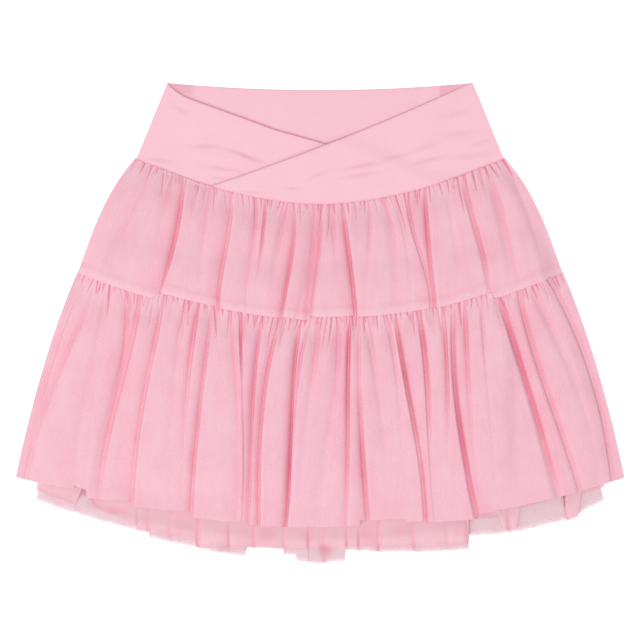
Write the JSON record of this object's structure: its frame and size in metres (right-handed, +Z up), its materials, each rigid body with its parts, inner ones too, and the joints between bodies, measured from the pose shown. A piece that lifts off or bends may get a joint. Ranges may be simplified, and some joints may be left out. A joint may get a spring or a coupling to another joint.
{
  "type": "tiered skort",
  "caption": "Tiered skort laid flat: crossover jersey waistband, gathered tulle tiers over a longer sheer layer, plain inner shorts.",
  "frame": {"origin": "on the surface that the skort lies on, under the middle of its outline", "axes": "+Z up off the surface, +Y towards the waist, +X to the wearer's left, which is the right of the front view"},
  "size_m": [0.5584, 0.4414, 0.0183],
  "materials": {
    "jersey": "smooth matte stretch jersey",
    "tulle": "fine soft tulle, gathered",
    "sheer_tulle": "fine sheer tulle, one layer",
    "shorts_jersey": "matte stretch jersey"
  },
  "bodies": {
    "root": {"waistband_back": "jersey", "waistband_front_under": "jersey", "waistband_front_over": "jersey", "tier1_front": "tulle", "tier1_back": "tulle", "tier2_front": "tulle", "tier2_back": "tulle", "underlayer_front": "sheer_tulle", "underlayer_back": "sheer_tulle", "shorts_front": "shorts_jersey", "shorts_back": "shorts_jersey"}
  },
  "joints": []
}
